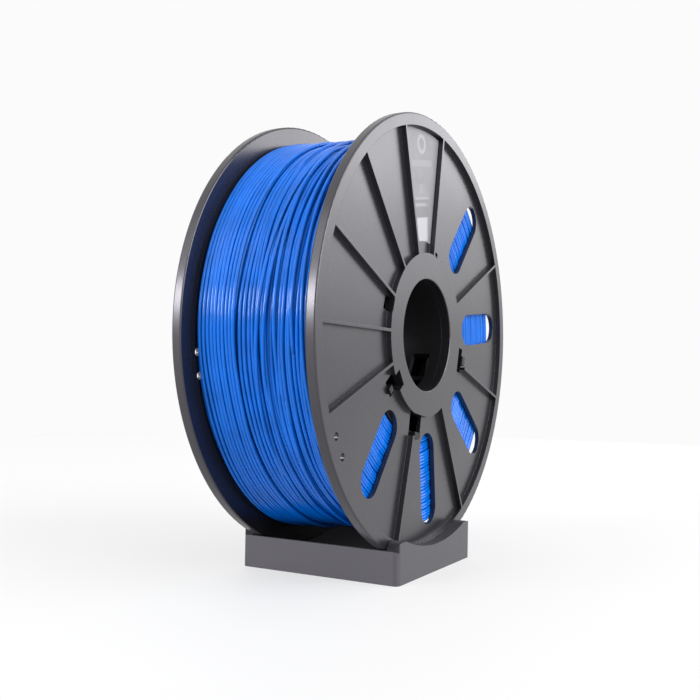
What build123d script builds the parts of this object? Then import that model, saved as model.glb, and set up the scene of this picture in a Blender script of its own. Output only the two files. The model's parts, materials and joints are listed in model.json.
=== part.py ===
"""Filament spool resting in a cradle stand.

Millimetres, +Z up. The spool's axis runs along Y and its labelled flange faces -Y.
The origin is the middle of the stand's underside, straight below the middle of the spool.
"""

import os
from math import degrees

from build123d import *

# Spool: overall sizes
FLANGE_RADIUS = 100.0
SPOOL_WIDTH = 67.3
BORE_RADIUS = 25.7

# Flange moulding: a floor with a raised rim, hub ring and ribs on its outer face
FLANGE_THICKNESS = 4.6
PAN_DEPTH = 2.5
PAN_RADIUS = 94.5
HUB_RADIUS = 37.6
RIM_ROUNDING = 0.8
BORE_CHAMFER = 0.3
RIB_WIDTH = 1.3
# Clock angles of the ribs in degrees, clockwise from the moulding's 12 o'clock, seen from outside
RIB_ANGLES = (9, 64.5, 108.5, 152.5, 196.5, 249, 271, 294.5, 319.5, 344)

# Sight slots in the flange floor, between neighbouring ribs: clock angle, inner and outer radius
SLOT_WIDTH = 15.6
SLOTS = (
    (42.7, 46.0, 89.7),
    (85.1, 46.3, 89.7),
    (129.0, 46.3, 89.4),
    (173.7, 45.5, 88.3),
    (219.0, 45.2, 87.3),
)

# Holes that hold the filament's end
END_HOLE_RADIUS = 1.7
END_HOLE_CIRCLE = 89.3
END_HOLE_ANGLES = (235.3, 241.6)

# Windows for the drum's snap hooks: clock angle, inner radius, outer radius, width
HOOK_WINDOWS = (
    (104.0, 37.0, 47.0, 12.0),
    (190.3, 37.0, 47.0, 12.0),
    (234.5, 33.0, 43.0, 8.0),
)

# Smaller windows beside the hub ring with nothing in them, given the same way
OPEN_WINDOWS = (
    (17.0, 37.0, 41.6, 6.0),
    (55.5, 38.4, 41.6, 7.0),
    (288.0, 37.0, 41.6, 6.0),
)

# Drum
BARREL_RADIUS = 47.0
BARREL_WALL = 2.5
CORE_WALL = 2.5
SHELF_INNER_RADIUS = 33.0
SHELF_THICKNESS = 2.5
SHELF_DEPTH = 10.0
WEB_COUNT = 4
WEB_THICKNESS = 2.4
HOOK_THICKNESS = 1.8
HOOK_CLEARANCE = 0.3
HOOK_WIDTH_SHARE = 0.36
BARB_REACH = 1.2
BARB_HEIGHT = 1.4
BARB_GAP = 0.1
CORE_OPENING_WIDTH = 9.0
CORE_OPENING_DEPTH = 14.5
CORE_OPENING_ANGLE = 136.0
CORE_OPENING_HEIGHT = 24.0

# Winding
WINDING_RADIUS = 90.0
WINDING_GAP = 0.2

# Paper label between the two ribs beside 12 o'clock
LABEL_INNER_RADIUS = 43.0
LABEL_OUTER_RADIUS = 93.6
LABEL_THICKNESS = 0.2
LABEL_RIB_GAP = 0.5

# Stand: a block with a trough for the rims and a lip at each end
STAND_SIZE = 79.0
STAND_HEIGHT = 17.8
STAND_SHOULDER_ROUNDING = 3.4
STAND_CORNER_ROUNDING = 2.6
TROUGH_CLEARANCE = 0.3
TROUGH_FLOOR = 6.5
LIP_CLEARANCE = 0.35
LIP_RADIUS = 94.5

# Worked out from the sizes above
SPOOL_HEIGHT = TROUGH_FLOOR + TROUGH_CLEARANCE + FLANGE_RADIUS
FLOOR_THICKNESS = FLANGE_THICKNESS - PAN_DEPTH
DRUM_WIDTH = SPOOL_WIDTH - 2 * FLANGE_THICKNESS

# Outer faces of the two flanges. On each, local Y points to the moulding's 12 o'clock and
# local Z away from the winding. The rear moulding is the front one turned over and clocked round.
REAR_CLOCKING = 138.7
FRONT_FACE = Plane(origin=(0, -SPOOL_WIDTH / 2, SPOOL_HEIGHT), x_dir=(1, 0, 0), z_dir=(0, -1, 0))
REAR_UP = Vector(0, 0, 1).rotate(Axis.Y, REAR_CLOCKING)
REAR_FACE = Plane(
    origin=(0, SPOOL_WIDTH / 2, SPOOL_HEIGHT), x_dir=REAR_UP.cross(Vector(0, 1, 0)), z_dir=(0, 1, 0)
)


def clock(radius, angle):
    """Place on a face at a radius and a clockwise angle, with local X pointing outwards."""
    return PolarLocations(radius, 1, start_angle=90 - angle)


def build_flange(face):
    """One flange moulding, whose outer face lies on the given plane."""
    floor = face.offset(-PAN_DEPTH)
    with BuildPart() as flange:
        with BuildSketch(face):
            Circle(FLANGE_RADIUS)
        extrude(amount=-FLANGE_THICKNESS)
        rim_edges = flange.edges().filter_by(GeomType.CIRCLE)
        fillet(rim_edges, radius=RIM_ROUNDING)

        # The pan between the rim and the hub ring, then the ribs that cross it
        with BuildSketch(face):
            Circle(PAN_RADIUS)
            Circle(HUB_RADIUS, mode=Mode.SUBTRACT)
        extrude(amount=-PAN_DEPTH, mode=Mode.SUBTRACT)
        with BuildSketch(floor):
            for angle in RIB_ANGLES:
                with clock((PAN_RADIUS + HUB_RADIUS) / 2, angle):
                    Rectangle(PAN_RADIUS - HUB_RADIUS + RIB_WIDTH, RIB_WIDTH)
        extrude(amount=PAN_DEPTH)

        # Openings right through the floor
        with BuildSketch(face):
            Circle(BORE_RADIUS)
            for angle, inner, outer in SLOTS:
                with clock((inner + outer) / 2, angle):
                    SlotOverall(outer - inner, SLOT_WIDTH)
            for angle in END_HOLE_ANGLES:
                with clock(END_HOLE_CIRCLE, angle):
                    Circle(END_HOLE_RADIUS)
            for angle, inner, outer, width in HOOK_WINDOWS + OPEN_WINDOWS:
                with clock((inner + outer) / 2, angle):
                    Rectangle(outer - inner, width)
        extrude(amount=-FLANGE_THICKNESS, mode=Mode.SUBTRACT)

        mouth = flange.faces().sort_by(Axis(face.origin, face.z_dir))[-1].edges()
        bore_mouth = mouth.filter_by(GeomType.CIRCLE).sort_by(SortBy.RADIUS)[0]
        chamfer(bore_mouth, length=BORE_CHAMFER)
    return flange


def build_hooks(face):
    """The snap hooks that stand on one of the drum's shelves and grip one flange's floor."""
    shelf = face.offset(-FLANGE_THICKNESS - SHELF_DEPTH)
    barb_base = face.offset(-PAN_DEPTH + BARB_GAP)
    with BuildPart() as hooks:
        for angle, inner, outer, width in HOOK_WINDOWS:
            hook_width = HOOK_WIDTH_SHARE * width
            post_outer = outer - HOOK_CLEARANCE
            with BuildSketch(shelf):
                with clock(post_outer - HOOK_THICKNESS / 2, angle):
                    Rectangle(HOOK_THICKNESS, hook_width)
            extrude(amount=SHELF_DEPTH + FLOOR_THICKNESS + BARB_GAP + BARB_HEIGHT)
            with BuildSketch(barb_base):
                with clock(post_outer + (BARB_REACH - HOOK_THICKNESS) / 2, angle):
                    Rectangle(HOOK_THICKNESS + BARB_REACH, hook_width)
            extrude(amount=BARB_HEIGHT)
    return hooks


# Flanges
front_flange = build_flange(FRONT_FACE)
rear_flange = build_flange(REAR_FACE)

# Drum: a barrel around a core tube, joined by webs, with a sunken shelf of hooks at each end
DRUM_FRONT = FRONT_FACE.offset(-FLANGE_THICKNESS)
DRUM_REAR = DRUM_FRONT.offset(-DRUM_WIDTH)
front_hooks = build_hooks(FRONT_FACE)
rear_hooks = build_hooks(REAR_FACE)
with BuildPart() as drum:
    with BuildSketch(DRUM_FRONT):
        Circle(BARREL_RADIUS)
        Circle(BARREL_RADIUS - BARREL_WALL, mode=Mode.SUBTRACT)
        Circle(BORE_RADIUS + CORE_WALL)
        with PolarLocations((BARREL_RADIUS + BORE_RADIUS) / 2, WEB_COUNT, start_angle=45):
            Rectangle(BARREL_RADIUS - BORE_RADIUS - BARREL_WALL, WEB_THICKNESS)
        Circle(BORE_RADIUS, mode=Mode.SUBTRACT)
    extrude(amount=-DRUM_WIDTH)
    for shelf_plane, inward in (
        (DRUM_FRONT.offset(-SHELF_DEPTH), -1),
        (DRUM_REAR.offset(SHELF_DEPTH), 1),
    ):
        with BuildSketch(shelf_plane):
            Circle(BARREL_RADIUS - BARREL_WALL / 2)
            Circle(SHELF_INNER_RADIUS, mode=Mode.SUBTRACT)
        extrude(amount=inward * SHELF_THICKNESS)
    add(front_hooks.part)
    add(rear_hooks.part)

    # An opening in the core tube's wall, near the front
    opening_direction = Vector(0, 0, 1).rotate(Axis.Y, CORE_OPENING_ANGLE)
    opening_origin = FRONT_FACE.origin + Vector(0, CORE_OPENING_DEPTH, 0)
    with BuildSketch(Plane(origin=opening_origin, x_dir=(0, 1, 0), z_dir=opening_direction)):
        Rectangle(CORE_OPENING_WIDTH, CORE_OPENING_HEIGHT)
    extrude(amount=BORE_RADIUS + CORE_WALL, mode=Mode.SUBTRACT)

# Winding, a solid ring that fills the space between the flanges
with BuildPart() as filament:
    with BuildSketch(DRUM_FRONT.offset(-WINDING_GAP)):
        Circle(WINDING_RADIUS)
        Circle(BARREL_RADIUS + WINDING_GAP, mode=Mode.SUBTRACT)
    extrude(amount=-(DRUM_WIDTH - 2 * WINDING_GAP))

# Label, a wedge of card on the front pan's floor
first_rib = 90 - RIB_ANGLES[0]
last_rib = 450 - RIB_ANGLES[-1]
label_middle = (first_rib + last_rib) / 2
label_half_angle = (last_rib - first_rib) / 2
side_inset = RIB_WIDTH / 2 + LABEL_RIB_GAP
inner_half_angle = label_half_angle - degrees(side_inset / LABEL_INNER_RADIUS)
outer_half_angle = label_half_angle - degrees(side_inset / LABEL_OUTER_RADIUS)
with BuildPart() as label:
    with BuildSketch(FRONT_FACE.offset(-PAN_DEPTH)):
        with BuildLine():
            inner_arc = CenterArc(
                (0, 0), LABEL_INNER_RADIUS, label_middle - inner_half_angle, 2 * inner_half_angle
            )
            outer_arc = CenterArc(
                (0, 0), LABEL_OUTER_RADIUS, label_middle - outer_half_angle, 2 * outer_half_angle
            )
            Line(inner_arc @ 0, outer_arc @ 0)
            Line(inner_arc @ 1, outer_arc @ 1)
        make_face()
    extrude(amount=LABEL_THICKNESS)

# Stand
TROUGH_WIDTH = SPOOL_WIDTH + 2 * LIP_CLEARANCE
STAND_FRONT = Plane(origin=(0, -STAND_SIZE / 2, SPOOL_HEIGHT), x_dir=(1, 0, 0), z_dir=(0, -1, 0))
with BuildPart() as stand:
    with BuildSketch(Plane.XY):
        RectangleRounded(STAND_SIZE, STAND_SIZE, STAND_CORNER_ROUNDING)
    extrude(amount=STAND_HEIGHT)

    # Rounded shoulders along the two sides: the profile's lower half lies below the stand
    with BuildSketch(Plane.XZ):
        RectangleRounded(STAND_SIZE, 2 * STAND_HEIGHT, STAND_SHOULDER_ROUNDING)
    extrude(amount=STAND_SIZE / 2, both=True, mode=Mode.INTERSECT)

    # The lips' arcs and the wider trough between them
    with BuildSketch(STAND_FRONT):
        Circle(LIP_RADIUS)
    extrude(amount=-STAND_SIZE, mode=Mode.SUBTRACT)
    with BuildSketch(STAND_FRONT.offset((TROUGH_WIDTH - STAND_SIZE) / 2)):
        Circle(FLANGE_RADIUS + TROUGH_CLEARANCE)
    extrude(amount=-TROUGH_WIDTH, mode=Mode.SUBTRACT)

os.makedirs("parts", exist_ok=True)
front_flange.part.label = "front_flange"
export_step(front_flange.part, "parts/front_flange.step")
rear_flange.part.label = "rear_flange"
export_step(rear_flange.part, "parts/rear_flange.step")
drum.part.label = "drum"
export_step(drum.part, "parts/drum.step")
filament.part.label = "filament"
export_step(filament.part, "parts/filament.step")
label.part.label = "label"
export_step(label.part, "parts/label.step")
stand.part.label = "stand"
export_step(stand.part, "parts/stand.step")
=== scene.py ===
"""Looks for the filament spool in its cradle stand: winding, materials, floor, light and camera.

Metres, +Z up. The spool's axis runs along Y through SPOOL_CENTRE, and the labelled flange faces -Y.
Clock angles are in radians, clockwise from 12 o'clock as seen from the labelled side.
"""

import json
import math
import random

import bmesh
import bpy
from mathutils import Matrix, Vector, noise


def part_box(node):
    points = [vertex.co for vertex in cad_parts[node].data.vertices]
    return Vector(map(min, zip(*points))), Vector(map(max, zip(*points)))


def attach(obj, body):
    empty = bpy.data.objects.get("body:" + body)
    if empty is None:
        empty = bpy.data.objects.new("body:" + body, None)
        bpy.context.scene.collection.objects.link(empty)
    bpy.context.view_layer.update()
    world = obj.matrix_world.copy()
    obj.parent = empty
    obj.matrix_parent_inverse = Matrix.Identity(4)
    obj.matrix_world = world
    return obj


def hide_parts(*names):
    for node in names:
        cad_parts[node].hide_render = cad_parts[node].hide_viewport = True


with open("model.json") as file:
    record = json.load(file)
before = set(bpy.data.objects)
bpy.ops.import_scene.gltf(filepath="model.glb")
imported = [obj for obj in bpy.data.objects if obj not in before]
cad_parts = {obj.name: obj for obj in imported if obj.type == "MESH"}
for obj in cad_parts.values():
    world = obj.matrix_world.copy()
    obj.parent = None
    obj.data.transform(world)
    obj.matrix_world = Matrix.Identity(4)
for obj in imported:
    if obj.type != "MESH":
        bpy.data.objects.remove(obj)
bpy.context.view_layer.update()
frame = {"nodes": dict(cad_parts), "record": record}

MM = 0.001
SPOOL_BODY = "spool"
SPOOL_CENTRE = Vector(frame["record"]["behaviour"]["joints"][0]["pos_m"])

# Winding: the space it fills
filament_low, filament_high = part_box("filament")
WINDING_HALF_WIDTH = (filament_high.y - filament_low.y) / 2
WINDING_RADIUS = (filament_high.x - filament_low.x) / 2
DRUM_RADIUS = 47.2 * MM

# Winding: the strand and its layers
WINDING_SEED = 11
STRAND_RADIUS = 0.875 * MM
TURN_SEGMENTS = 144
SECTION_SIDES = 8
LAYER_STEP = 1.55 * MM
MEAN_PITCH = 1.84 * MM
# The part layer on top covers this share of the width, on the far side
LEDGE_FRACTION = 0.34
LEDGE_PITCH = 1.05 * MEAN_PITCH
# The layer under it has one wide gap, this far from its labelled side and this much wider
MARKED_GAP_AT = 20.0 * MM
MARKED_GAP = 1.3 * MM
# The layers stand this much higher at the far end than in the middle
TAPER = 0.6 * MM
# Farthest that the middle line of a strand can be from the middle of the winding
REACH = WINDING_HALF_WIDTH - STRAND_RADIUS

# Winding: how unevenly it is wound. Gaps are shares of the pitch.
NOISE_GAIN = 2.0
WANDER_LOBES = 1.6
WANDER_PER_METRE = 60.0
WANDER_SEED_STEP = 17.3
RIPPLE_PER_TURN = 5.1
RIPPLE_SEED_STEP = 3.7
FIRST_GAP_SHARES = (0.9, 1.0)
GAP_SHARES = (0.9, 0.92, 0.95, 1.0, 1.05, 1.18)
LEAN = 0.26 * MM
LIFT = 0.32 * MM
# The swell is read further round and more tightly than the drift, so that it doesn't follow it
SWELL = 0.3 * MM
SWELL_TURN = 1.0
SWELL_STRETCH = 1.7
WAVE = 0.16 * MM
WAVE_LENGTH = 22.0 * MM
# The drift and the waver fade out over this distance from the flanges
EDGE_FADE = 4 * MM
# The ends of a layer that dives under do it within this share of a turn
DIVE_SHARE = 0.12

# Winding: end turns of the buried layers, seen through the slots
EDGE_INSETS_MM = (0.0, 0.05, 0.1, 0.15, 0.4)
EDGE_DRIFT = 0.15 * MM
EDGE_SWELL = 0.25 * MM
# Where across the noise the swell is read, away from the drift, which is read at 0
EDGE_SWELL_PLACE = 0.1
EDGE_SEED = 3
EDGE_STEP_SHARES = (0.92, 1.02)
# The end turns stop this many layers below the surface
EDGE_DEPTH_LAYERS = 2.5

# Winding: the plain bulk under the round strands
CORE_DEPTH_LAYERS = 2.6
CORE_INSET = 1.7 * MM

# Winding: strands that cross over the others
STRAY_COUNT = 11
STRAY_HEIGHT = 1.35 * MM
STRAY_DEPTH = 1.6 * MM
# A stray comes up in the first and goes down in the last of this many parts of its length
STRAY_STEEPNESS = 9.0
# Where a stray may start, as shares of REACH and as clock angles
STRAY_START_SHARES = (-0.85, 0.2)
STRAY_ANGLES = (0, 6.28)
# How far a stray goes sideways and round
STRAY_SLIDE_MM = (3.0, 8.0)
STRAY_SWEEP = (1.6, 3.6)
# Where a stray has to end: inside this share of REACH, and this far short of the part layer
STRAY_EDGE_SHARE = 0.9
STRAY_LEDGE_CLEARANCE = 2 * MM

# Filament plastic
FILAMENT_COLOUR = (0.0, 0.103, 0.48)
FILAMENT_TONES = (0.85, 1.1)
FILAMENT_SHINE = 0.3
FILAMENT_ROUGHNESS = (0.12, 0.2)
STREAK_SIZE = 12 * MM
STRAND_SHEEN_SIZE = 3 * MM
STRAND_GRAIN_SIZE = 1.5 * MM
STRAND_GRAIN_DEPTH = 0.03 * MM
STRAND_GRAIN_STRENGTH = 0.3

# Label print, in metres from the spool's axis along the label's middle line
LABEL_ANGLE = math.radians(-3.5)
# Distance from the axis, thickness, sideways place, width, brightness against the card
LABEL_BARS = (
    (78.5 * MM, 3.0 * MM, 0.0, 22.0 * MM, 1.2),
    (66.8 * MM, 4.5 * MM, -0.8 * MM, 3.5 * MM, 1.16),
    (62.6 * MM, 1.1 * MM, 0.0, 15.0 * MM, 1.32),
    (61.2 * MM, 1.5 * MM, 0.0, 15.0 * MM, 0.85),
    (59.7 * MM, 1.4 * MM, -1.5 * MM, 11.0 * MM, 1.32),
    (56.3 * MM, 4.6 * MM, 0.0, 15.0 * MM, 0.82),
    (48.4 * MM, 10.8 * MM, 0.0, 11.0 * MM, 1.85),
)
# The bars climb this much to the right against the label's own middle line
PRINT_TILT = math.tan(math.radians(6.5))
# The printed ring: distance of its middle from the axis, radius, thickness of its line
RING_HEIGHT = 87.3 * MM
RING_RADIUS = 3.6 * MM
RING_LINE = 1.8 * MM
CARD_COLOUR = (0.16, 0.158, 0.17)
RING_COLOUR = (0.23, 0.23, 0.245)
CARD_TONES = (0.93, 1.07)
CARD_BLOTCH_SIZE = 6 * MM
CARD_ROUGHNESS = 0.55

# Materials: the part of its 0 to 1 range that noise mostly stays in
NOISE_LOW = 0.3
NOISE_HIGH = 0.7
NOISE_DETAIL = 4.0

# Moulded plastic
GRAIN_SIZE = 0.5 * MM
GRAIN_DETAIL = 3.0
GRAIN_STRENGTH = 0.6
EDGE_SOFTENING = 0.25 * MM
BEVEL_SAMPLES = 4
BLOTCH_SIZE = 30 * MM
BLOTCH_TONES = (0.92, 1.08)
SMEAR_SIZE = 25 * MM
SMEAR_ROUGHNESS = 0.02
PLASTIC_SHEEN = (0.92, 0.89, 1.0)
# Colour, roughness, shine, depth of the grain
FLANGE_LOOK = ((0.008, 0.0076, 0.0088), 0.28, 0.82, 0.006 * MM)
DRUM_LOOK = ((0.005, 0.005, 0.0055), 0.45, 0.3, 0.02 * MM)
STAND_LOOK = ((0.026, 0.025, 0.028), 0.45, 0.84, 0.02 * MM)

# The stand's curved faces, which get painted shade: within this distance of the spool's axis, and
# between its end faces
CRADLE_REACH = 100.6 * MM
CRADLE_HALF_LENGTH = 39.3 * MM
# Painted shade: near-black colour and full roughness for the curved faces under the spool
CRADLE_SHADE_COLOUR = (0.0015, 0.0015, 0.002)
CRADLE_SHADE_ROUGHNESS = 1.0

# Floor
FLOOR_RADIUS = 0.9
FLOOR_COLOUR = (0.2, 0.2, 0.201)
FLOOR_TONES = (0.985, 1.015)
FLOOR_BLOTCH_SIZE = 0.3
FLOOR_ROUGHNESS = 0.7
FLOOR_GLOW = 0.57
FLOOR_SIDES = 128

# Light
WHITE = (1.0, 1.0, 1.0, 1.0)
ROOM_BRIGHTNESS = 1.0
BACKDROP_BRIGHTNESS = 0.965
# Name, place from the middle of the spool, width, height, power in watts
SOFTBOXES = (
    ("left", (-1.27, 0.74, 0.38), 1.0, 0.3, 16.5),
    ("left_high", (-1.0, 0.5, 0.9), 0.9, 0.6, 3.0),
    ("right", (1.1, -0.95, 0.32), 1.1, 0.4, 1.7),
    ("right_high", (1.1, -0.65, 0.5), 1.1, 0.38, 3.0),
    ("front", (-1.0, -0.9, 0.6), 1.0, 0.8, 2.0),
    ("right_front", (0.0, -2.4, 1.2), 2.8, 2.0, 98.0),
)

# Camera: place, turn to the right of +Y, tilt up and roll, and a lens in millimetres on its sensor
CAMERA_PLACE = (-0.39927, -0.21527, 0.09013)
CAMERA_YAW = math.radians(60.874)
CAMERA_PITCH = math.radians(1.212)
CAMERA_ROLL = math.radians(0.976)
CAMERA_LENS = 49.09
CAMERA_SENSOR = 36.0
CAMERA_NEAR = 0.01
CAMERA_FAR = 100.0


def on_spool(radius, angle, y):
    """A point at a radius and clock angle about the spool's axis."""
    return SPOOL_CENTRE + Vector((radius * math.sin(angle), y, radius * math.cos(angle)))


def wander(angle, y, seed):
    """A smooth sideways drift between -1 and 1, shared by strands that lie side by side."""
    across = WANDER_PER_METRE * y + WANDER_SEED_STEP * seed
    place = Vector((WANDER_LOBES * math.sin(angle), WANDER_LOBES * math.cos(angle), across))
    return NOISE_GAIN * noise.noise(place)


def ripple(angle, turn, seed):
    """A short sideways waver between -1 and 1 that each turn has for itself."""
    waves = WINDING_RADIUS / WAVE_LENGTH
    across = RIPPLE_PER_TURN * turn + RIPPLE_SEED_STEP * seed
    place = Vector((waves * math.sin(angle), waves * math.cos(angle), across))
    return NOISE_GAIN * noise.noise(place)


def ease(share):
    """A share from 0 to 1 that starts and ends gently."""
    return share ** 2 * (3 - 2 * share)


def between(first, second, share):
    """The value that is this share of the way from the first to the second."""
    return first * (1 - share) + second * share


def add_tube(mesh, points, closed):
    """Sweeps the strand's round section along points about the spool's axis."""
    rings = []
    count = len(points)
    for index, point in enumerate(points):
        before = points[index - 1] if closed or index else point
        after = points[(index + 1) % count] if closed or index < count - 1 else point
        along = (after - before).normalized()
        outward = point - SPOOL_CENTRE
        outward.y = 0.0
        sideways = along.cross(outward).normalized()
        upward = sideways.cross(along)
        ring = []
        for side in range(SECTION_SIDES):
            turn = 2 * math.pi * side / SECTION_SIDES
            offset = math.cos(turn) * upward + math.sin(turn) * sideways
            ring.append(mesh.verts.new(point + STRAND_RADIUS * offset))
        rings.append(ring)
    last = count if closed else count - 1
    for index in range(last):
        ring, following = rings[index], rings[(index + 1) % count]
        for side in range(SECTION_SIDES):
            beside = (side + 1) % SECTION_SIDES
            mesh.faces.new((ring[side], following[side], following[beside], ring[beside]))
    if not closed:
        mesh.faces.new(rings[0])
        mesh.faces.new(list(reversed(rings[-1])))


def turn_places(chooser, low, high, pitch):
    """Uneven places across the winding for one layer's turns, from low to high."""
    gaps = [chooser.uniform(*FIRST_GAP_SHARES) * pitch]
    while sum(gaps) < high - low:
        gaps.append(pitch * chooser.choice(GAP_SHARES))
    scale = (high - low) / sum(gaps)
    places = [low]
    for gap in gaps:
        places.append(places[-1] + gap * scale)
    return places


def add_layer(mesh, chooser, radius, low, high, pitch, seed, drift, end_drop):
    """One layer of the strand, wound as a single helix from low to high across the winding."""
    places = turn_places(chooser, low, high, pitch)
    turns = len(places) - 1
    lean = [chooser.uniform(-LEAN, LEAN) for _ in places]
    lift = [chooser.uniform(-LIFT, LIFT) for _ in places]
    start = chooser.uniform(0, 2 * math.pi)
    points = []
    for step in range(turns * TURN_SEGMENTS + 1):
        turn, within = divmod(step, TURN_SEGMENTS)
        share = within / TURN_SEGMENTS
        following = min(turn + 1, turns)
        sidestep = ease(share)
        angle = start + 2 * math.pi * share
        y = between(places[turn], places[following], sidestep)
        y += between(lean[turn], lean[following], sidestep)
        fade = max(min(1.0, (REACH - abs(y)) / EDGE_FADE), 0.0)
        y += drift * fade * wander(angle, y, seed)
        y += WAVE * fade * ripple(angle, turn + share, seed)
        out = between(lift[turn], lift[following], sidestep)
        out += SWELL * wander(angle + SWELL_TURN, SWELL_STRETCH * y, seed + 1)
        out += TAPER * y / WINDING_HALF_WIDTH
        ends = min(step, turns * TURN_SEGMENTS - step) / (DIVE_SHARE * TURN_SEGMENTS)
        dive = end_drop * max(0.0, 1.0 - ends)
        points.append(on_spool(radius + out - dive, angle, max(-REACH, min(REACH, y))))
    add_tube(mesh, points, closed=False)


def add_stray(mesh, radius, y_from, y_to, angle_from, sweep):
    """A strand that crosses over its layer at a slant and dives back under at both ends."""
    steps = int(TURN_SEGMENTS * sweep / (2 * math.pi))
    points = []
    for step in range(steps + 1):
        share = step / steps
        rise = min(1.0, STRAY_STEEPNESS * min(share, 1 - share))
        y = y_from + (y_to - y_from) * ease(share)
        points.append(on_spool(radius - STRAY_DEPTH * (1 - rise), angle_from + sweep * share, y))
    add_tube(mesh, points, closed=False)


def add_edge_turns(mesh, chooser, side):
    """The end turn of each buried layer, which shows through the flange's slots."""
    radius = DRUM_RADIUS + STRAND_RADIUS
    seed = EDGE_SEED
    while radius < WINDING_RADIUS - EDGE_DEPTH_LAYERS * LAYER_STEP:
        inset = STRAND_RADIUS + chooser.choice(EDGE_INSETS_MM) * MM
        seed += 1
        points = []
        for step in range(TURN_SEGMENTS):
            angle = 2 * math.pi * step / TURN_SEGMENTS
            away = inset + EDGE_DRIFT * (1 + wander(angle, 0.0, seed))
            height = radius + EDGE_SWELL * wander(angle, EDGE_SWELL_PLACE, seed)
            points.append(on_spool(height, angle, side * (WINDING_HALF_WIDTH - away)))
        add_tube(mesh, points, closed=True)
        radius += LAYER_STEP * chooser.uniform(*EDGE_STEP_SHARES)


def add_core(mesh):
    """The buried bulk of the winding, a plain ring that shows only as shade between strands."""
    outer = WINDING_RADIUS - CORE_DEPTH_LAYERS * LAYER_STEP
    half_width = WINDING_HALF_WIDTH - CORE_INSET
    profile = (
        (DRUM_RADIUS, -half_width),
        (outer, -half_width),
        (outer, half_width),
        (DRUM_RADIUS, half_width),
    )
    rings = []
    for step in range(TURN_SEGMENTS):
        angle = 2 * math.pi * step / TURN_SEGMENTS
        rings.append([mesh.verts.new(on_spool(radius, angle, y)) for radius, y in profile])
    for index, ring in enumerate(rings):
        following = rings[(index + 1) % TURN_SEGMENTS]
        for corner in range(len(profile)):
            beside = (corner + 1) % len(profile)
            mesh.faces.new((ring[corner], ring[beside], following[beside], following[corner]))


def build_winding():
    """The whole winding: buried ring, end turns, full layers, a part layer and stray strands."""
    chooser = random.Random(WINDING_SEED)
    mesh = bmesh.new()
    add_core(mesh)
    for side in (-1, 1):
        add_edge_turns(mesh, chooser, side)
    top = WINDING_RADIUS - STRAND_RADIUS - TAPER
    gap_low = -REACH + MARKED_GAP_AT
    gap_high = gap_low + MEAN_PITCH + MARKED_GAP
    ledge = REACH - LEDGE_FRACTION * 2 * REACH
    # Radius, where it starts and ends, pitch, seed, drift and how far its ends dive
    layers = (
        (top - 2 * LAYER_STEP, -REACH, REACH, MEAN_PITCH, 21, 0.5 * MM, 0.0),
        (top - LAYER_STEP, -REACH, REACH, MEAN_PITCH, 22, 0.6 * MM, 0.0),
        (top, -REACH, gap_low, MEAN_PITCH, 23, 0.9 * MM, LAYER_STEP),
        (top, gap_high, REACH, MEAN_PITCH, 23, 0.9 * MM, LAYER_STEP),
        (top + LAYER_STEP, ledge, REACH, LEDGE_PITCH, 24, 0.8 * MM, LAYER_STEP),
    )
    for layer in layers:
        add_layer(mesh, chooser, *layer)
    for _ in range(STRAY_COUNT):
        y_from = chooser.uniform(*STRAY_START_SHARES) * REACH
        y_to = y_from + chooser.choice((-1, 1)) * chooser.uniform(*STRAY_SLIDE_MM) * MM
        y_to = max(-STRAY_EDGE_SHARE * REACH, min(ledge - STRAY_LEDGE_CLEARANCE, y_to))
        angle_from = chooser.uniform(*STRAY_ANGLES)
        sweep = chooser.uniform(*STRAY_SWEEP)
        add_stray(mesh, top + STRAY_HEIGHT, y_from, y_to, angle_from, sweep)
    for face in mesh.faces:
        face.smooth = True
    bmesh.ops.recalc_face_normals(mesh, faces=mesh.faces)
    data = bpy.data.meshes.new("winding")
    mesh.to_mesh(data)
    mesh.free()
    winding = bpy.data.objects.new("winding", data)
    bpy.context.scene.collection.objects.link(winding)
    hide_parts("filament")
    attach(winding, SPOOL_BODY)
    return winding


# Materials


def start_material(name):
    """An empty node material with its shader, and a function that adds a node."""
    material = bpy.data.materials.new(name)
    material.use_nodes = True
    tree = material.node_tree
    shader = tree.nodes["Principled BSDF"]

    def add(kind, **values):
        node = tree.nodes.new(kind)
        for key, value in values.items():
            setattr(node, key, value)
        return node

    return material, tree, shader, add


def add_noise(tree, add, coordinates, size, detail=NOISE_DETAIL):
    """Noise whose blotches are about size across, in metres."""
    texture = add("ShaderNodeTexNoise")
    texture.inputs["Scale"].default_value = 1.0 / size
    texture.inputs["Detail"].default_value = detail
    tree.links.new(coordinates, texture.inputs["Vector"])
    return texture.outputs["Fac"]


def add_tones(tree, add, value, colour, tones):
    """The colour, from its darkest to its lightest tone as the noise goes from low to high."""
    ramp = add("ShaderNodeValToRGB")
    places = (NOISE_LOW, NOISE_HIGH)
    for element, position, tone in zip(ramp.color_ramp.elements, places, tones):
        element.position = position
        element.color = (*shade(colour, tone), 1.0)
    tree.links.new(value, ramp.inputs["Fac"])
    return ramp.outputs["Color"]


def add_range(tree, add, value, low, high):
    """A number that goes from low to high as the noise does."""
    mapping = add("ShaderNodeMapRange")
    mapping.inputs["From Min"].default_value = NOISE_LOW
    mapping.inputs["From Max"].default_value = NOISE_HIGH
    mapping.inputs["To Min"].default_value = low
    mapping.inputs["To Max"].default_value = high
    tree.links.new(value, mapping.inputs["Value"])
    return mapping.outputs["Result"]


def shade(colour, factor):
    """The colour, this many times as bright."""
    return tuple(channel * factor for channel in colour)


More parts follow.
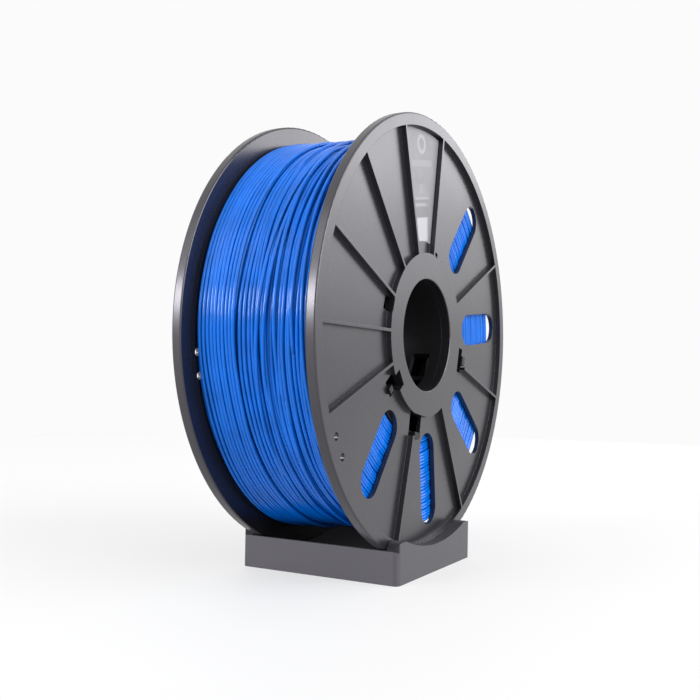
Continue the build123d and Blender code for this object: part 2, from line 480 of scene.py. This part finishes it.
def moulded_plastic(name, colour, roughness, shine, grain_depth):
    """Moulded plastic: faint blotches, a fine surface grain and softened edges."""
    material, tree, shader, add = start_material(name)
    shader.inputs["Specular IOR Level"].default_value = shine
    shader.inputs["Specular Tint"].default_value = (*PLASTIC_SHEEN, 1.0)
    place = add("ShaderNodeTexCoord").outputs["Object"]
    blotches = add_noise(tree, add, place, BLOTCH_SIZE)
    tone = add_tones(tree, add, blotches, colour, BLOTCH_TONES)
    tree.links.new(tone, shader.inputs["Base Color"])
    smears = add_noise(tree, add, place, SMEAR_SIZE)
    dull, glossy = roughness + SMEAR_ROUGHNESS, roughness - SMEAR_ROUGHNESS
    tree.links.new(add_range(tree, add, smears, glossy, dull), shader.inputs["Roughness"])
    rounded = add("ShaderNodeBevel", samples=BEVEL_SAMPLES)
    rounded.inputs["Radius"].default_value = EDGE_SOFTENING
    bump = add("ShaderNodeBump")
    bump.inputs["Strength"].default_value = GRAIN_STRENGTH
    bump.inputs["Distance"].default_value = grain_depth
    grain = add_noise(tree, add, place, GRAIN_SIZE, detail=GRAIN_DETAIL)
    tree.links.new(grain, bump.inputs["Height"])
    tree.links.new(rounded.outputs["Normal"], bump.inputs["Normal"])
    tree.links.new(bump.outputs["Normal"], shader.inputs["Normal"])
    return material


def paint_cradle_shade(material):
    """Paints shade on the stand's curved faces, which lie between its flat end faces, darkening and
    dulling them.
    """
    tree = material.node_tree
    shader = tree.nodes["Principled BSDF"]

    def add(kind, operation, first, second, output="Value"):
        node = tree.nodes.new(kind)
        node.operation = operation
        tree.links.new(first, node.inputs[0])
        if isinstance(second, bpy.types.NodeSocket):
            tree.links.new(second, node.inputs[1])
        else:
            node.inputs[1].default_value = second
        return node.outputs[output]

    place = tree.nodes.new("ShaderNodeTexCoord").outputs["Object"]
    parts = tree.nodes.new("ShaderNodeSeparateXYZ")
    tree.links.new(place, parts.inputs["Vector"])
    flat = add("ShaderNodeVectorMath", "MULTIPLY", place, (1.0, 0.0, 1.0), output="Vector")
    axis = (SPOOL_CENTRE.x, 0.0, SPOOL_CENTRE.z)
    from_axis = add("ShaderNodeVectorMath", "DISTANCE", flat, axis)
    near_spool = add("ShaderNodeMath", "LESS_THAN", from_axis, CRADLE_REACH)
    before_end = add("ShaderNodeMath", "LESS_THAN", parts.outputs["Y"], CRADLE_HALF_LENGTH)
    after_start = add("ShaderNodeMath", "GREATER_THAN", parts.outputs["Y"], -CRADLE_HALF_LENGTH)
    between_ends = add("ShaderNodeMath", "MULTIPLY", before_end, after_start)
    # Mask of the painted shade: the curved faces inside the cradle
    painted_shade = add("ShaderNodeMath", "MULTIPLY", near_spool, between_ends)
    finishes = (
        ("Base Color", "RGBA", (*CRADLE_SHADE_COLOUR, 1.0)),
        ("Roughness", "FLOAT", CRADLE_SHADE_ROUGHNESS),
    )
    for name, kind, value in finishes:
        mix = tree.nodes.new("ShaderNodeMix")
        mix.data_type = kind
        sockets = [socket for socket in mix.inputs if socket.enabled]
        tree.links.new(shader.inputs[name].links[0].from_socket, sockets[1])
        sockets[2].default_value = value
        tree.links.new(painted_shade, sockets[0])
        result = [socket for socket in mix.outputs if socket.enabled][0]
        tree.links.new(result, shader.inputs[name])


def printed_card(name, card_colour, ring_colour):
    """Grey card printed with a ring and plain bars along the middle of the label."""
    material, tree, shader, add = start_material(name)
    spin = add("ShaderNodeVectorRotate", rotation_type="Y_AXIS")
    spin.inputs["Center"].default_value = SPOOL_CENTRE
    spin.inputs["Angle"].default_value = -LABEL_ANGLE
    tree.links.new(add("ShaderNodeTexCoord").outputs["Object"], spin.inputs["Vector"])
    parts = add("ShaderNodeSeparateXYZ")
    tree.links.new(spin.outputs["Vector"], parts.inputs["Vector"])
    across = parts.outputs["X"]
    level = add("ShaderNodeMath", operation="MULTIPLY_ADD")
    tree.links.new(across, level.inputs[0])
    level.inputs[1].default_value = -PRINT_TILT
    tree.links.new(parts.outputs["Z"], level.inputs[2])
    height = level.outputs["Value"]

    def near(value, middle, reach):
        compare = add("ShaderNodeMath", operation="COMPARE")
        tree.links.new(value, compare.inputs[0])
        compare.inputs[1].default_value = middle
        compare.inputs[2].default_value = reach
        return compare.outputs["Value"]

    def both(one, other):
        product = add("ShaderNodeMath", operation="MULTIPLY")
        tree.links.new(one, product.inputs[0])
        tree.links.new(other, product.inputs[1])
        return product.outputs["Value"]

    def paint(under, mask, colour):
        mix = add("ShaderNodeMix", data_type="RGBA")
        tree.links.new(mask, mix.inputs["Factor"])
        tree.links.new(under, mix.inputs["A"])
        mix.inputs["B"].default_value = (*colour, 1.0)
        return mix.outputs["Result"]

    place = add("ShaderNodeTexCoord").outputs["Object"]
    blotches = add_noise(tree, add, place, CARD_BLOTCH_SIZE)
    tone = add_tones(tree, add, blotches, card_colour, CARD_TONES)
    for radius, thickness, centre, width, brightness in LABEL_BARS:
        bar = both(
            near(height, SPOOL_CENTRE.z + radius, thickness / 2), near(across, centre, width / 2)
        )
        tone = paint(tone, bar, shade(card_colour, brightness))
    label_low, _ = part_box("label")
    ring_middle = (0.0, label_low.y, SPOOL_CENTRE.z + RING_HEIGHT)
    from_ring = add("ShaderNodeVectorMath", operation="DISTANCE")
    tree.links.new(spin.outputs["Vector"], from_ring.inputs[0])
    from_ring.inputs[1].default_value = ring_middle
    ring = near(from_ring.outputs["Value"], RING_RADIUS, RING_LINE / 2)
    tree.links.new(paint(tone, ring, ring_colour), shader.inputs["Base Color"])
    shader.inputs["Roughness"].default_value = CARD_ROUGHNESS
    return material


def filament_plastic():
    """Glossy blue strand, a little uneven in tone and sheen from place to place."""
    material, tree, shader, add = start_material("filament_plastic")
    place = add("ShaderNodeTexCoord").outputs["Object"]
    streaks = add_noise(tree, add, place, STREAK_SIZE)
    tone = add_tones(tree, add, streaks, FILAMENT_COLOUR, FILAMENT_TONES)
    tree.links.new(tone, shader.inputs["Base Color"])
    sheen = add_noise(tree, add, place, STRAND_SHEEN_SIZE)
    tree.links.new(add_range(tree, add, sheen, *FILAMENT_ROUGHNESS), shader.inputs["Roughness"])
    shader.inputs["Specular IOR Level"].default_value = FILAMENT_SHINE
    bump = add("ShaderNodeBump")
    bump.inputs["Strength"].default_value = STRAND_GRAIN_STRENGTH
    bump.inputs["Distance"].default_value = STRAND_GRAIN_DEPTH
    grain = add_noise(tree, add, place, STRAND_GRAIN_SIZE)
    tree.links.new(grain, bump.inputs["Height"])
    tree.links.new(bump.outputs["Normal"], shader.inputs["Normal"])
    return material


def give_material(node, material):
    """Puts one material on every slot of a CAD node."""
    for slot in frame["nodes"][node].material_slots:
        slot.material = material


# Stage


def build_floor():
    """A pale round tabletop that glows a little, so that its far edge is lost in the backdrop."""
    material, tree, shader, add = start_material("floor_paper")
    place = add("ShaderNodeTexCoord").outputs["Object"]
    blotches = add_noise(tree, add, place, FLOOR_BLOTCH_SIZE)
    tone = add_tones(tree, add, blotches, FLOOR_COLOUR, FLOOR_TONES)
    tree.links.new(tone, shader.inputs["Base Color"])
    shader.inputs["Roughness"].default_value = FLOOR_ROUGHNESS
    shader.inputs["Emission Color"].default_value = WHITE
    shader.inputs["Emission Strength"].default_value = FLOOR_GLOW
    bpy.ops.mesh.primitive_circle_add(
        vertices=FLOOR_SIDES, radius=FLOOR_RADIUS, fill_type="NGON"
    )
    floor = bpy.context.object
    floor.name = "floor"
    floor.data.materials.append(material)


def add_softbox(name, place, width, height, power):
    """A rectangular soft light that faces the middle of the spool."""
    light = bpy.data.lights.new(name, "AREA")
    light.shape = "RECTANGLE"
    light.size = width
    light.size_y = height
    light.energy = power
    lamp = bpy.data.objects.new(name, light)
    lamp.location = place
    lamp.rotation_euler = (SPOOL_CENTRE - place).to_track_quat("-Z", "Y").to_euler()
    bpy.context.scene.collection.objects.link(lamp)


def build_light():
    """A white room and six soft lights. The camera itself sees the room a little dimmer."""
    world = bpy.data.worlds.new("white_room")
    world.use_nodes = True
    nodes, links = world.node_tree.nodes, world.node_tree.links
    room = nodes["Background"]
    room.inputs["Color"].default_value = WHITE
    room.inputs["Strength"].default_value = ROOM_BRIGHTNESS
    backdrop = nodes.new("ShaderNodeBackground")
    backdrop.inputs["Color"].default_value = WHITE
    backdrop.inputs["Strength"].default_value = BACKDROP_BRIGHTNESS
    rays = nodes.new("ShaderNodeLightPath")
    chosen = nodes.new("ShaderNodeMixShader")
    links.new(rays.outputs["Is Camera Ray"], chosen.inputs["Fac"])
    links.new(room.outputs["Background"], chosen.inputs[1])
    links.new(backdrop.outputs["Background"], chosen.inputs[2])
    links.new(chosen.outputs["Shader"], nodes["World Output"].inputs["Surface"])
    bpy.context.scene.world = world
    for name, offset, width, height, power in SOFTBOXES:
        add_softbox(name, SPOOL_CENTRE + Vector(offset), width, height, power)
    view = bpy.context.scene.view_settings
    view.view_transform = "Standard"
    view.look = "None"


def build_camera():
    """The camera, low and to the left of the labelled side."""
    camera = bpy.data.objects.new("camera", bpy.data.cameras.new("camera"))
    camera.data.lens = CAMERA_LENS
    camera.data.sensor_width = CAMERA_SENSOR
    camera.data.clip_start = CAMERA_NEAR
    camera.data.clip_end = CAMERA_FAR
    camera.matrix_world = (
        Matrix.Translation(CAMERA_PLACE)
        @ Matrix.Rotation(-CAMERA_YAW, 4, "Z")
        @ Matrix.Rotation(math.pi / 2 + CAMERA_PITCH, 4, "X")
        @ Matrix.Rotation(CAMERA_ROLL, 4, "Z")
    )
    bpy.context.scene.collection.objects.link(camera)
    bpy.context.scene.camera = camera


build_camera()
build_light()
build_floor()

winding = build_winding()
winding.data.materials.append(filament_plastic())
flange_plastic = moulded_plastic("flange_plastic", *FLANGE_LOOK)
give_material("front_flange", flange_plastic)
give_material("rear_flange", flange_plastic)
give_material("drum", moulded_plastic("drum_plastic", *DRUM_LOOK))
give_material("label", printed_card("label_card", CARD_COLOUR, RING_COLOUR))
stand_plastic = moulded_plastic("stand_plastic", *STAND_LOOK)
# Painted shade: the stand's curved faces under the spool are made near-black
paint_cradle_shade(stand_plastic)
give_material("stand", stand_plastic)
